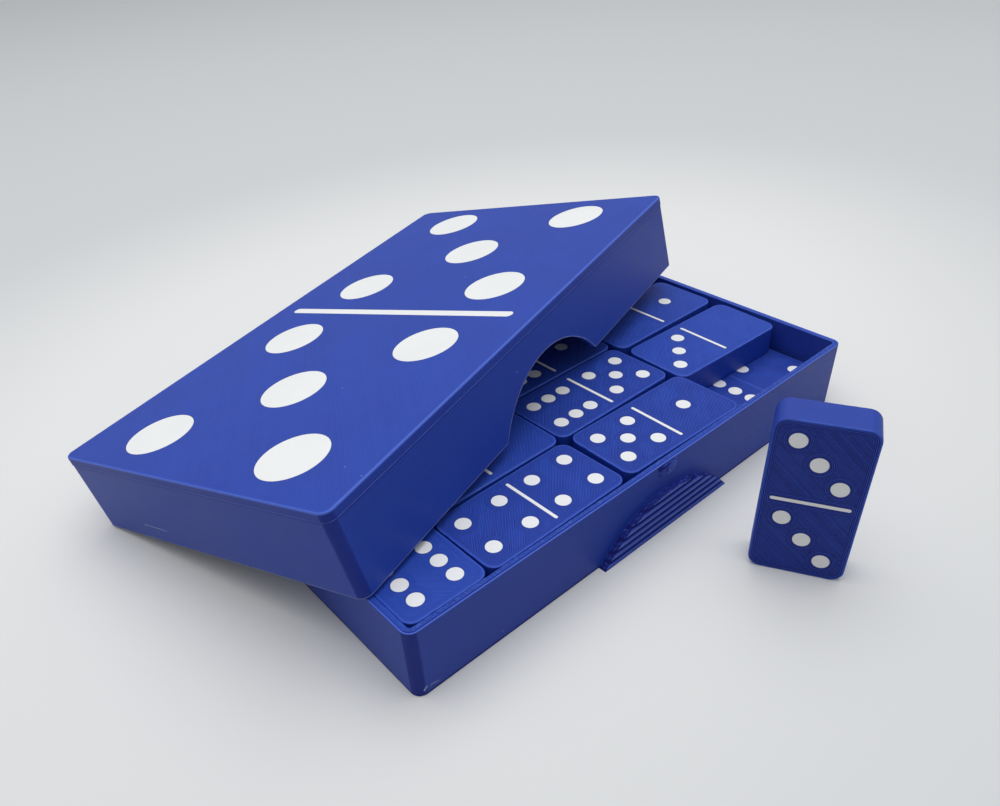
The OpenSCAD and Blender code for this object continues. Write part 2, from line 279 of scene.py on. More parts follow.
def layers(paint, z):
    """Level layers, each a little different, in broad bands: (height, tone)."""
    layer = z / PRINT_LAYER + 0.5
    ridge = ridge_of(layer)
    streak = paint.chance(layer.floor())
    band = paint.node("ShaderNodeTexNoise", {"noise_dimensions": "1D"}, {"W": z * 1.1, "Detail": 3.0})
    # The low middle of the tone, 0.34, darkens every upright side against the flat faces: painted shade.
    return ridge * (2.0 - ridge) + streak * 0.4, 0.34 + 0.12 * (streak - 0.5) + 0.26 * (band - 0.5)


def tile_wall_plastic():
    """A domino's sides: level layers, and a painted highlight along the soft top edge, broken up in patches.
    """
    paint = Paint("blue_print_tile_wall", specular_ior_level=SHEEN)
    place = own_place(paint)
    z = paint.parts(place)[2]
    height, tone = layers(paint, z)
    # Patches of noise break up the painted highlights.
    highlight_patches = paint.ramp(paint.noise(place, 0.5, 2.0), 0.25, 0.6)
    edge = paint.ramp(z, TILE_T - 0.42, TILE_T - 0.15) * highlight_patches
    return finish_plastic(paint, place, height, tone, 0.00003, edge=edge * 0.8)


def tray_wall_plastic():
    """The tray's sides. In the grips the valleys get painted shade and the ribs painted
    highlights, and the arch's steps are rough. The round corners, the foot and the snap
    lens's pit and upper edge get painted shade, and the lens a painted glint and highlight arc.
    """
    paint = Paint("blue_print_tray_wall", specular_ior_level=SHEEN)
    place = own_place(paint)
    x, y, z = paint.parts(place)
    height, tone = layers(paint, z)
    on_grip = paint.ramp(abs(y), TRAY_W / 2 + 0.15, TRAY_W / 2 + 0.45) * (z < GRIP_H + 0.5)
    from_arc = GRIP_R - hypot(x, z - GRIP_Z)
    arc_top = 1.0 - paint.ramp(from_arc, 0.02, 0.12)
    # The grip's valleys and the arch's top edge get painted shade; the ribs and the arch's crumbs get
    # painted highlights.
    valley = abs((z - GROOVE_FIRST + GROOVE_PITCH / 2).rest(GROOVE_PITCH) - GROOVE_PITCH / 2)
    in_valley = (1.0 - paint.ramp(valley, 0.40, 0.80)) * (z < GROOVE_FIRST + (GROOVES - 0.5) * GROOVE_PITCH)
    frayed = paint.noise(place, 1.1, 4.0, 0.8)
    crumbs = paint.ramp(frayed, 0.58, 0.62)
    rib_end = (1.0 - paint.ramp(from_arc, 0.5, 2.2)) * paint.ramp(frayed, 0.40, 0.55)
    rib = (1.0 - in_valley) * (1.0 - arc_top)
    # Around the snap lens: painted shade in its pit and under the rim, a painted glint and a painted
    # highlight arc.
    snap = hypot(x + 0.3, z - TRAY_H - 0.2)
    arc = (1.0 - paint.ramp(abs(snap - 3.9), 0.10, 0.32)) * paint.ramp(x, -1.4, -0.6)
    pit_shade = 1.0 - paint.ramp(hypot(x + 1.2, z - TRAY_H + 2.2), 0.4, 1.2)
    glint = 1.0 - paint.ramp(hypot(x, z - TRAY_H + 2.7), 0.22, 0.50)
    near_snap = (snap < 5.0) * (z < TRAY_H - 0.3) * (abs(y) > TRAY_W / 2 - 0.4)
    dark_snap = (pit_shade * 0.6).most(paint.ramp(z - x * 0.25, TRAY_H - 1.4, TRAY_H - 0.8) * (snap < 4.2) * 0.9)
    # Painted shade at the foot of the wall and on the round upright corners.
    foot_shade = 1.0 - paint.ramp(z, 0.45, 1.10)
    groove_and_shade = (on_grip * in_valley.most(arc_top * 0.75)).most(near_snap * dark_snap)
    groove_and_shade = groove_and_shade.most(at_corner(x, y, TRAY_L, TRAY_W, TRAY_CORNER) * 0.6).most(foot_shade * 0.9)
    edge = on_grip * (arc_top * crumbs * 0.9).most(rib * (0.55 + 0.3 * rib_end))
    worn_and_highlight = on_grip * (rib * rib_end * 0.3).most(arc_top * crumbs * 0.35)
    worn_and_highlight = worn_and_highlight.most(near_snap * glint.most(arc * 0.75))
    marks = scratch(x, y, z, (-89.0, -53.4, 2.0), (-88.2, -53.5, 3.0), 0.1, 0.22)
    for start, end, bend in (((-87.3, -53.5, 2.2), (-85.2, -53.5, 1.9), 0.35),
                             ((-86.9, -53.5, 2.7), (-84.4, -53.5, 1.9), 0.2)):
        marks = marks.most(scratch(x, y, z, start, end, bend, 0.12) * 0.5)
    crack = paint.ramp(paint.noise(place, 1.5, 2.0), 0.25, 0.40)
    return finish_plastic(paint, place, height + 2.0 * on_grip * arc_top * frayed, tone, 0.00005,
                          groove_and_shade=groove_and_shade, edge=edge, worn_and_highlight=worn_and_highlight, marks=marks * crack)


def lid_wall_plastic():
    """The lid's sides: a slightly darker band under the top, with a painted shadow below it and
    a pale lip that is partly a painted highlight. Painted highlights run along the top edge,
    the foot and the arch, and the round corners get painted shade.
    """
    paint = Paint("blue_print_lid_wall", specular_ior_level=SHEEN)
    place = own_place(paint)
    x, y, z = paint.parts(place)
    height, tone = layers(paint, z)
    outside = from_border(x, y, LID_L, LID_W, LID_CORNER) < 0.8
    under = LID_H - BAND_H
    # The band is a little darker; below it a painted shadow, then the lip's painted highlight.
    band = paint.ramp(z, under, under + 0.1) * (1.0 - paint.ramp(z, LID_H - 0.9, LID_H - 0.4))
    shadow = 1.0 - paint.ramp(abs(z - under + 0.22), 0.08, 0.26)
    lip = 1.0 - paint.ramp(abs(z - under - 0.06), 0.07, 0.16)
    highlight_patches = paint.ramp(paint.noise(place, 0.4, 2.0), 0.25, 0.55)
    # top_edge: a painted highlight along the rounded top edge.
    top_edge = paint.ramp(z, LID_H - 0.75, LID_H - 0.35)
    # A painted pale highlight along the foot and round the arch.
    from_arch = hypot(x, z - GRIP_Z) - GRIP_R - ARCH_GAP
    arch_highlight = (1.0 - paint.ramp(abs(from_arch), 0.10, 0.36)) * (z < GRIP_H + 2)
    foot_and_arch_highlight = (1.0 - paint.ramp(z, 0.12, 0.40)).most(arch_highlight)
    # Painted shade on the round corners.
    groove_and_shade = (band * 0.12).most(shadow * 0.7).most(at_corner(x, y, LID_L, LID_W, LID_CORNER) * 0.55)
    end_x = BAND_OUT - LID_L / 2
    marks = scratch(x, y, z, (end_x, 31.8, 5.1), (end_x, 20.4, 4.9), 0.12, 0.12)
    marks = marks * paint.ramp(paint.noise(place, 1.1, 2.0), 0.30, 0.50)
    return finish_plastic(paint, place, height, tone, 0.00003, groove_and_shade=groove_and_shade * outside,
                          edge=top_edge * outside,
                          worn_and_highlight=(lip * (0.35 + 0.65 * highlight_patches)).most(top_edge * 0.4) * outside,
                          marks=marks.most(foot_and_arch_highlight * outside * (0.20 + 0.35 * highlight_patches)))


def face_plastic(name, length, width, corner, half_at, along, across, pip_r, bar_l, bar_w, contrast, bright):
    """A domino's face: tracks round its edge, its pips and its bar, slanting tracks between, and a painted
    highlight along its edge.

    The spots attribute holds the two halves' counts and how deep the tracks are."""
    paint = Paint(name, specular_ior_level=SHEEN)
    place = own_place(paint)
    x, y, z = paint.parts(place)
    spots = paint.node("ShaderNodeAttribute", {"attribute_name": "spots"}, out=1)
    left, right, relief = paint.parts(spots)
    is_right = x > 0.0
    count = left + is_right * (right - left)
    from_half = x - (is_right * 2.0 - 1.0) * half_at
    far = 99.0
    odd = count.rest(2.0)
    nearest = hypot(from_half, y) + (1.0 - odd) * far
    first = hypot(from_half + along, y + across).least(hypot(from_half - along, y - across))
    second = hypot(from_half + along, y - across).least(hypot(from_half - along, y + across))
    sides = hypot(from_half, abs(y) - across)
    nearest = nearest.least(first + (count < 1.5) * far)
    nearest = nearest.least(second + (count < 3.5) * far)
    nearest = nearest.least(sides + (count < 5.5) * far) - pip_r
    bar = hypot((abs(x) - bar_w / 2).most(0.0), (abs(y) - (bar_l - bar_w) / 2).most(0.0))
    edge = from_border(x, y, length, width, corner)
    outline = (nearest.least(bar) + (z < 1.0) * far).least(edge)
    wobble = (paint.noise(place, 0.6, 1.0) - 0.5) * 0.25
    is_outline = outline < OUTLINE_TRACKS * TRACK
    slant = (x - y) * sqrt(0.5) + wobble
    track = (outline * is_outline + slant * (1.0 - is_outline)) / TRACK
    ridge = ridge_of(track)
    streak = paint.chance(track.floor() + is_outline * 500.0)
    blend = paint.node("ShaderNodeTexNoise", {"noise_dimensions": "1D"}, {"W": track * 0.45, "Detail": 2.0})
    patch = paint.ramp(paint.noise(place, 0.10, 2.0), 0.35, 0.65)
    strength = contrast * relief * (0.65 + 0.35 * patch.most(is_outline * 0.9)) * (1.0 - 0.6 * (z < 1.0))
    tone = bright + strength * (0.6 * (streak - 0.5) + 0.3 * (blend - 0.5))
    valley = 1.0 - paint.ramp(ridge, 0.10, 0.75)
    seam = (1.0 - paint.ramp(abs(outline), 0.05, 0.24)) * (z > 1.0)
    groove_and_shade = (strength * valley).most(seam * 0.6 * contrast)
    # edge_light: a painted highlight along the face's soft edge.
    edge_light = 1.0 - paint.ramp(edge, 0.45, 0.60)
    return finish_plastic(paint, place, ridge * (2.0 - ridge) + 0.6 * streak, tone, 0.00008 * contrast,
                          groove_and_shade=groove_and_shade, edge=edge_light * 0.6)


def rim_plastic(name, length, width, corner):
    """The narrow top of a wall: one smooth outer track with a painted highlight along its edge, and a rough
    zigzag fill inside it with pale crumbs and darker troughs.
    """
    paint = Paint(name, specular_ior_level=SHEEN)
    place = own_place(paint)
    x, y, _ = paint.parts(place)
    edge = from_border(x, y, length, width, corner)
    front = abs(y) > width / 2 - 2.5
    inner = paint.ramp(edge, 0.80, 0.95)
    tooth = ((x + edge * 0.6) * 0.95 + (paint.noise(place, 0.8, 2.0) - 0.5) * 1.6).part()
    crumbs = paint.ramp(paint.noise(place, 1.5, 3.0, 0.7), 0.46, 0.60)
    rough = inner * (0.25 + 0.75 * front)
    tone = 0.66 + rough * (0.20 + 0.35 * (tooth - 0.3))
    seam = (1.0 - paint.ramp(abs(edge - 0.66), 0.10, 0.24)) * (0.35 + 0.65 * front)
    seam = seam * (1.0 - 0.6 * paint.ramp(x, -30.0, 10.0))
    groove_and_shade = (seam * 0.75).most(rough * (1.0 - crumbs) * (tooth < 0.35) * 0.5)
    # lip: a painted highlight along the outer edge.
    lip = 1.0 - paint.ramp(edge, 0.26, 0.46)
    return finish_plastic(paint, place, ridge_of(edge / TRACK) + crumbs * rough * 2.0, tone, 0.00008,
                          groove_and_shade=groove_and_shade, edge=lip * 0.9, worn_and_highlight=(rough * crumbs * 0.45).most(lip * 0.35))


TILE_PRINT = (TILE_L, TILE_W, TILE_CORNER, HALF_AT, PIP_ALONG, PIP_ACROSS, PIP_R, BAR_L, BAR_W)
LID_PRINT = (LID_L, LID_W, LID_CORNER, LID_HALF_AT, LID_PIP_OUT, LID_PIP_OUT,
             LID_PIP_R, LID_BAR_L, LID_BAR_W)
plain = {
    "tile_wall": tile_wall_plastic(),
    "tray_wall": tray_wall_plastic(),
    "lid_wall": lid_wall_plastic(),
    "tile_face": face_plastic("blue_print_tile_face", *TILE_PRINT, contrast=1.05, bright=0.98),
    # A darker copy of the face plastic, for the standing domino: painted shade on its upright face.
    "dark_face": face_plastic("blue_print_dark_face", *TILE_PRINT, contrast=1.4, bright=0.46),
    "lid_face": face_plastic("blue_print_lid_face", *LID_PRINT, contrast=0.22, bright=0.55),
    "tray_rim": rim_plastic("blue_print_tray_rim", TRAY_L, TRAY_W, TRAY_CORNER),
}
print("plastics:", ", ".join(plain))

# %% [markdown]
# ## White inlays
# The white pips and bars were printed level with the blue. Their solids are right as
# they are, so they stay, and only get their finish: warm white with faint fill lines.

# %% White inlays
def white_plastic():
    paint = Paint("white_print", specular_ior_level=0.5)
    place = paint.node("ShaderNodeTexCoord", out=3)
    x, y, _ = paint.parts(place)
    track = (x - y) * sqrt(0.5) * 1000 / TRACK
    ridge = ridge_of(track)
    streak = paint.chance(track.floor())
    cloud = paint.noise(place, 60.0, 2.0)
    tone = paint.ramp(0.5 + (streak - 0.5) * 0.12 + (cloud - 0.5) * 0.8, 0.0, 1.0)
    colour = paint.colours(tone, (0.87, 0.885, 0.885, 1), (0.95, 0.96, 0.965, 1))
    rough = 0.42 + 0.1 * cloud
    normal = paint.bump(ridge * (2.0 - ridge), 0.4, 0.00002)
    return paint.feed(Base_Color=colour, Roughness=rough, Normal=normal)


white = white_plastic()
inlays = [name for name in nodes if name.startswith(("inlay_", "low_", "lid_pips", "lid_bar"))]
for name in inlays:
    mesh = nodes[name].data
    mesh.materials.clear()
    mesh.materials.append(white)
print("white nodes:", len(inlays))

# %% [markdown]
# ## Modelling helpers
# Each piece starts as a primitive and is shaped in edit mode. These helpers start a
# box or a disc at its size and place, choose edges or faces by a rule, and cut one
# piece with others.

# %% Modelling helpers
def select_only(*objects):
    if bpy.context.object and bpy.context.object.mode != "OBJECT":
        bpy.ops.object.mode_set(mode="OBJECT")
    bpy.ops.object.select_all(action="DESELECT")
    for item in objects:
        item.select_set(True)
    if objects:
        bpy.context.view_layer.objects.active = objects[0]


def settle(item, name):
    """Writes an object's place, turn and size into its mesh."""
    select_only(item)
    bpy.ops.object.transform_apply(location=True, rotation=True, scale=True)
    item.name = item.data.name = name
    return item


def block(name, size, low_middle, turn=(0, 0, 0)):
    """A box from its size and the middle of its underside, in millimetres."""
    select_only()
    bpy.ops.mesh.primitive_cube_add(size=1)
    item = bpy.context.object
    item.scale = Vector(size) * MM
    item.rotation_euler = turn
    item.location = (Vector(low_middle) + Vector((0, 0, size[2] / 2))) * MM
    return settle(item, name)


def disc(name, radius, depth, middle, turn=(0, 0, 0), sides=PIP_SIDES):
    select_only()
    bpy.ops.mesh.primitive_cylinder_add(vertices=sides, radius=radius * MM, depth=depth * MM,
                                        location=Vector(middle) * MM, rotation=turn)
    return settle(bpy.context.object, name)


def choose(item, kind, rule):
    """Opens edit mode with only the edges or faces that the rule wants selected."""
    select_only(item)
    bpy.ops.object.mode_set(mode="EDIT")
    bpy.ops.mesh.select_mode(type="EDGE" if kind == "edges" else "FACE")
    bpy.ops.mesh.select_all(action="DESELECT")
    mesh = bmesh.from_edit_mesh(item.data)
    for part in getattr(mesh, kind):
        if rule(part):
            part.select_set(True)
    mesh.select_flush_mode()
    bmesh.update_edit_mesh(item.data)


def done():
    bpy.ops.object.mode_set(mode="OBJECT")


def upright(edge):
    a, b = (v.co for v in edge.verts)
    return abs(a.z - b.z) > 1e-6 and (a - b).xy.length < 1e-7


def level_at(z):
    def rule(edge):
        return all(abs(v.co.z - z * MM) < 1e-7 for v in edge.verts)
    return rule


def round_edges(item, rule, width, segments):
    choose(item, "edges", rule)
    bpy.ops.mesh.bevel(offset=width * MM, segments=segments, profile=0.5, affect="EDGES",
                       clamp_overlap=True)
    done()


def combine(item, how, *tools):
    """Cuts the tools out of the item, or adds them to it, and removes the tools."""
    for tool in tools:
        select_only(item)
        bpy.ops.object.modifier_add(type="BOOLEAN")
        step = item.modifiers[-1]
        step.operation, step.solver, step.object = how, "EXACT", tool
        bpy.ops.object.modifier_apply(modifier=step.name)
    for tool in tools:
        bpy.data.objects.remove(tool, do_unlink=True)


def join(name, *items):
    select_only(*items)
    bpy.ops.object.join()
    items[0].name = items[0].data.name = name
    return items[0]


WELD = 0.004


def soften(item, angle=35):
    """Drops points and faces that a cut left without size, then shades smooth what is round."""
    choose(item, "faces", lambda f: True)
    bpy.ops.mesh.remove_doubles(threshold=WELD * MM)
    bpy.ops.mesh.dissolve_degenerate(threshold=WELD * MM)
    done()
    bpy.ops.object.shade_smooth_by_angle(angle=radians(angle), keep_sharp_edges=True)
    bpy.ops.object.modifier_add(type="WEIGHTED_NORMAL")
    step = item.modifiers[-1]
    step.keep_sharp, step.weight = True, 100
    bpy.ops.object.modifier_apply(modifier=step.name)


def dress(item, wall, face, spots=None, face_z=None):
    """Writes the untilted place on each point, and gives faces their plastics.

    spots is a face's two counts and how deep its tracks are."""
    mesh = item.data
    place = mesh.attributes.new("print_mm", "FLOAT_VECTOR", "POINT")
    place.data.foreach_set("vector", [c / MM for v in mesh.vertices for c in v.co])
    if spots is not None:
        counts = mesh.attributes.new("spots", "FLOAT_VECTOR", "POINT")
        counts.data.foreach_set("vector", [c for _ in mesh.vertices for c in spots])
    mesh.materials.clear()
    mesh.materials.append(plain[wall])
    mesh.materials.append(plain[face])
    for part in mesh.polygons:
        level = abs(part.normal.z) > 0.9
        high = face_z is None or part.center.z > face_z * MM
        part.material_index = 1 if level and high else 0


print("modelling helpers ready")

# %% [markdown]
# ## Dominoes
# A domino is a flat block with rounded corners and a fine soft edge. One blank is
# modelled; each domino is a copy of it, with its own pockets cut for pips and bar.

# %% Domino blank
def domino_blank():
    item = block("domino_blank", (TILE_L, TILE_W, TILE_T), (0, 0, 0))
    round_edges(item, upright, TILE_CORNER, 8)
    round_edges(item, lambda e: level_at(0)(e) or level_at(TILE_T)(e), TILE_EDGE, 3)
    return item


CORNERS = [(-1, -1), (-1, 1), (1, -1), (1, 1)]
SPOTS = {0: [], 1: [(0, 0)], 2: [CORNERS[0], CORNERS[3]], 3: [CORNERS[0], (0, 0), CORNERS[3]],
         4: CORNERS, 5: [*CORNERS, (0, 0)], 6: [*CORNERS, (0, -1), (0, 1)]}


def pip_places(left, right, half_at, along, across):
    return [(side * half_at + a * along, b * across)
            for side, count in ((-1, left), (1, right)) for a, b in SPOTS[count]]


def pocket_tools(places, radius, bar_l, bar_w, top, depth, sides):
    """Discs and a round-ended bar that reach depth below the top."""
    tall = depth + 1
    middle = top - depth + tall / 2
    tools = [disc("pip_tool", radius, tall, (x, y, middle), sides=sides) for x, y in places]
    bar = block("bar_tool", (bar_w, bar_l, tall), (0, 0, top - depth))
    round_edges(bar, upright, bar_w / 2 - 0.001, 6)
    return [join("pocket_tool", bar, *tools)]


# Dominoes whose faces came out smoother, and how deep their tracks are against the rest.
SMOOTHER = {(6, 3): 0.45, (3, 0): 0.55, (0, 1): 0.65, (2, 0): 0.75}


def cut_domino(blank, left, right, face):
    item = blank.copy()
    item.data = blank.data.copy()
    bpy.context.scene.collection.objects.link(item)
    places = pip_places(left, right, HALF_AT, PIP_ALONG, PIP_ACROSS)
    combine(item, "DIFFERENCE", *pocket_tools(places, PIP_R, BAR_L, BAR_W, TILE_T, INLAY_T, PIP_SIDES))
    soften(item)
    dress(item, "tile_wall", face, spots=(left, right, SMOOTHER.get((left, right), 1.0)))
    return item


blank = domino_blank()
print("blank:", len(blank.data.polygons), "faces")

# %% [markdown]
# ## Where the dominoes lie
# The bottom layer is seven columns of two, all crosswise. The top layer has a
# crosswise pair at the left and lengthwise ones in three columns, each a little
# askew. One domino stands on its end in front of the tray.

# %% Places
def placed(x, y, z, turn):
    return Matrix.Translation(Vector((x, y, z)) * MM) @ Matrix.Rotation(radians(turn), 4, "Z")


def top_along(column, row, dx=0.0, dy=0.0, turn=0.0):
    return placed(-TRAY_IN_L / 2 + 2 * SQUARE * column + dx, (row - 1.5) * TRAY_IN_W / 4 + dy, TOP_Z, turn)


def top_across(side, dx=0.0, dy=0.0, turn=0.0):
    return placed(-TRAY_IN_L / 2 + SQUARE / 2 + dx, side * SQUARE + dy, TOP_Z, 90 + turn)


def low(column, side):
    return placed((column - 3) * SQUARE, side * SQUARE, LOW_Z, 90)


def standing(x, away, turn):
    ends_up = Matrix.Rotation(radians(90), 4, "Z") @ Matrix.Rotation(radians(-90), 4, "Y")
    on_end = placed(x, -TRAY_W / 2 - away, TILE_L / 2, turn) @ ends_up
    return on_end @ Matrix.Translation((0, 0, -TILE_T * MM))


loose = {
    (6, 3): top_across(-1, 0.15, -1.3, -0.3), (2, 6): top_across(1, 0.15, -0.5),
    (4, 4): top_along(1, 0, 0.4, 0.1, 0.6), (5, 1): top_along(2, 0, 2.15, 0.15, -1.1),
    (2, 0): top_along(1, 1, 0.3, 0.1), (6, 5): top_along(2, 1, 0.6, 0.25, 0.4),
    (3, 0): top_along(3, 1, 1.7, -5.2, -1.8), (4, 2): top_along(1, 2, 0.3, 0.1),
    (6, 1): top_along(2, 2, 1.2, 0.2), (0, 1): top_along(3, 2, 1.8, -4.0),
    (5, 3): top_along(1, 3, 0.4, 0.1), (3, 2): top_along(2, 3, 1.5, 0.1),
    (1, 4): top_along(3, 3, 1.9, -0.8), (3, 3): standing(9.0, 38.0, -61.6),
}
FRONT_LOW = [(0, 0), (4, 5), (1, 1), (0, 5), (2, 2), (6, 4), (2, 5)]
BACK_LOW = [(1, 3), (0, 6), (5, 5), (1, 2), (4, 3), (6, 6), (0, 4)]
bottom = {halves: low(column, side)
          for side, row in ((-1, FRONT_LOW), (1, BACK_LOW)) for column, halves in enumerate(row)}
print("loose dominoes:", len(loose), "bottom layer:", len(bottom))

# %% Dominoes
for halves, where in {**loose, **bottom}.items():
    name = "domino_{}_{}".format(*halves)
    # The standing domino (3, 3) gets the darker copy of the face: painted shade.
    item = cut_domino(blank, *halves, "dark_face" if halves == (3, 3) else "tile_face")
    item.name = item.data.name = "printed_" + name
    item.data.transform(where)
    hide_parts(name)
    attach(item, "loose_{}_{}".format(*halves) if halves in loose else "tray")
bpy.data.objects.remove(blank, do_unlink=True)
print("dominoes cut and placed")

# %% [markdown]
# ## Tray
# The tray is one print: a rounded box whose top face is inset by the wall and pushed
# down to the floor. Each long wall has a grip, a slice of a disc that stands on the
# table, crossed by grooves, and above it a low lens that snaps into the lid.

# %% Tray
def pressed_box(name, size, corner, wall, depth, from_top):
    """A rounded box with one side inset by a wall and pushed in."""
    item = block(name, size, (0, 0, 0))
    round_edges(item, upright, corner, 8)
    facing = 1 if from_top else -1
    choose(item, "faces", lambda f: f.normal.z * facing > 0.9)
    bpy.ops.mesh.inset(thickness=wall * MM, depth=0)
    bpy.ops.mesh.extrude_region_move(
        TRANSFORM_OT_translate={"value": (0, 0, -facing * depth * MM)})
    done()
    return item


tray = pressed_box("printed_tray", (TRAY_L, TRAY_W, TRAY_H), TRAY_CORNER, WALL, TRAY_H - FLOOR_T, True)
round_edges(tray, level_at(TRAY_H), TRAY_EDGE, 2)
round_edges(tray, level_at(0), TRAY_FOOT, 2)
print("tray box:", len(tray.data.polygons), "faces")


def side_grip(side):
    """A slice of a disc with its flat side on the table and grooves across its face."""
    face_y = TRAY_W / 2 + GRIP_OUT
    item = disc("grip", GRIP_R, GRIP_OUT + 1, (0, side * (face_y - (GRIP_OUT + 1) / 2), GRIP_Z),
                turn=(radians(90), 0, 0), sides=ARC_SIDES)
    choose(item, "faces", lambda f: True)
    bpy.ops.mesh.bisect(plane_co=(0, 0, 0), plane_no=(0, 0, -1), use_fill=True, clear_outer=True)
    done()
    flute = GROOVE_DEPTH * sqrt(2)
    for n in range(GROOVES):
        z = GROOVE_FIRST + n * GROOVE_PITCH
        tool = block("groove_tool", (GRIP_W + 2, flute, flute), (0, 0, -flute / 2))
        tool.data.transform(Matrix.Translation(Vector((0, side * face_y, z)) * MM)
                            @ Matrix.Rotation(radians(45), 4, "X"))
        combine(item, "DIFFERENCE", tool)

    def on_the_face(edge):
        a, b = (v.co for v in edge.verts)
        return edge.calc_length() > 8 * MM and abs(a.y - b.y) < 1e-6 and abs(a.y) > (face_y - 0.01) * MM

    round_edges(item, on_the_face, GROOVE_EDGE, 2)
    return item


def lens(side, grow):
    select_only()
    bpy.ops.mesh.primitive_uv_sphere_add(segments=32, ring_count=16, radius=1)
    item = bpy.context.object
    item.scale = Vector((SNAP_W / 2 + grow, SNAP_OUT + grow, SNAP_H / 2 + grow)) * MM
    item.location = Vector((0, side * TRAY_W / 2, SNAP_Z)) * MM
    return settle(item, "snap_lens")


for side in (-1, 1):
    combine(tray, "UNION", side_grip(side), lens(side, 0))
soften(tray, 30)
dress(tray, "tray_wall", "tray_rim", face_z=TRAY_H - 1)
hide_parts("tray")
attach(tray, "tray")
print("tray:", len(tray.data.polygons), "faces")

# %% [markdown]
# ## Lid
# The lid is modelled closed and level. Its top plate stands a hair proud of the
# walls, which leaves a fine lip; its pale line is partly a painted highlight. A rounded
# hollow, an arch for each grip and pockets for the white inlays are then cut from it.

# %% Lid
lid = block("printed_lid", (LID_L - 2 * BAND_OUT, LID_W - 2 * BAND_OUT, LID_H - BAND_H), (0, 0, 0))
round_edges(lid, upright, LID_CORNER, 10)
choose(lid, "faces", lambda f: f.normal.z > 0.9)
bpy.ops.mesh.extrude_region_move(TRANSFORM_OT_translate={"value": (0, 0, 0)})
bpy.ops.transform.resize(value=(LID_L / (LID_L - 2 * BAND_OUT), LID_W / (LID_W - 2 * BAND_OUT), 1),
                         center_override=(0, 0, 0))
bpy.ops.mesh.extrude_region_move(TRANSFORM_OT_translate={"value": (0, 0, BAND_H * MM)})
done()
round_edges(lid, level_at(LID_H), LID_EDGE, 3)
round_edges(lid, level_at(0), LID_FOOT, 1)
hollow = block("hollow_tool", (LID_L - 2 * LID_WALL, LID_W - 2 * LID_WALL, TRAY_H + 1), (0, 0, -1))
round_edges(hollow, upright, LID_IN_CORNER, 8)
print("lid box:", len(lid.data.polygons), "faces")

arch = disc("arch_tool", GRIP_R + ARCH_GAP, LID_W + 4, (0, 0, GRIP_Z),
            turn=(radians(90), 0, 0), sides=ARC_SIDES)
places = pip_places(5, 5, LID_HALF_AT, LID_PIP_OUT, LID_PIP_OUT)
pockets = pocket_tools(places, LID_PIP_R, LID_BAR_L, LID_BAR_W, LID_H, LID_INLAY_T, LID_PIP_SIDES)
combine(lid, "DIFFERENCE", hollow, arch, lens(-1, SNAP_GAP), lens(1, SNAP_GAP), *pockets)
soften(lid)
dress(lid, "lid_wall", "lid_face", spots=(5, 5, 1.0), face_z=LID_H - 0.5)
print("lid:", len(lid.data.polygons), "faces")

# %% [markdown]
# ## How the lid leans
# One low corner is at the table, and two walls rest on the tray's rim. The lid's up
# direction is at right angles to the plane through those three points. Where the
# walls cross the rim depends on that direction, so it is worked out a few times over.

# %% Lean
TURN, OVER, BACK, REST_GAP, ROUNDS = radians(16.4), 6.0, 12.4, 0.4, 12
heading = Vector((cos(TURN), sin(TURN), 0))
low_corner = Vector((-TRAY_L / 2 - LID_WALL * cos(TURN) - (LID_W - OVER) * sin(TURN),
                     TRAY_W / 2 + BACK, 0))
rest_z = TRAY_H + REST_GAP
up = Vector((0, 0, 1))
for _ in range(ROUNDS):
    along = (heading - heading.dot(up) * up).normalized()
    across = up.cross(along)
    p = low_corner + LID_WALL * along
    at_left = Vector((-TRAY_L / 2, p.y - across.y * (p.x + TRAY_L / 2) / across.x, rest_z))
    p = low_corner + (LID_L - LID_WALL) * along
    at_back = Vector((p.x - across.x * (p.y - TRAY_W / 2) / across.y, TRAY_W / 2, rest_z))
    up = (at_left - low_corner).cross(at_back - low_corner).normalized()
along = (heading - heading.dot(up) * up).normalized()
across = up.cross(along)
middle = low_corner + along * LID_L / 2 - across * LID_W / 2
lean = Matrix.Translation(middle * MM) @ Matrix((along, across, up)).transposed().to_4x4()
lid.data.transform(lean)
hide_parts("lid_shell")
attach(lid, "lid")
print("lid leans by", [round(c, 4) for c in up])

# %% [markdown]
# ## Floor and light
# A pale floor with a painted pool of light around the box, a large soft lamp
# overhead and a low pale surround, as in a small light tent.

# %% Stage
# The floor's colour holds a painted pool of light, brightest around POOL_MIDDLE and greyer further out.
POOL_MIDDLE, POOL_STRETCH, POOL_START, POOL_END = (0.02, 0.06), 1.25, 0.12, 0.36
PALE, GREYER, THROWN_BACK = (0.83, 0.835, 0.83, 1), (0.645, 0.66, 0.675, 1), (0.5, 0.5, 0.5, 1)


def floor_material():
    """Pale near the box and greyer further out: a painted pool of light. The light it throws back up is
    greyer still.
    """
    paint = Paint("pale_floor", roughness=0.8, specular_ior_level=0.2)
    x, y, _ = paint.parts(paint.node("ShaderNodeTexCoord", out=3))
    away = hypot(x - POOL_MIDDLE[0], (y - POOL_MIDDLE[1]) * POOL_STRETCH)
    out = paint.ramp(away, POOL_START, POOL_END)
    out = out * out * (3.0 - 2.0 * out)
    shown = paint.colours(out, PALE, GREYER)
    rays = paint.node("ShaderNodeLightPath").socket.node.outputs
    seen = Val(paint, rays["Is Camera Ray"]).most(Val(paint, rays["Is Glossy Ray"]))
    return paint.feed(Base_Color=paint.colours(seen, THROWN_BACK, shown))


select_only()
bpy.ops.mesh.primitive_plane_add(size=8)
floor = bpy.context.object
floor.name = "floor"
floor.data.materials.append(floor_material())


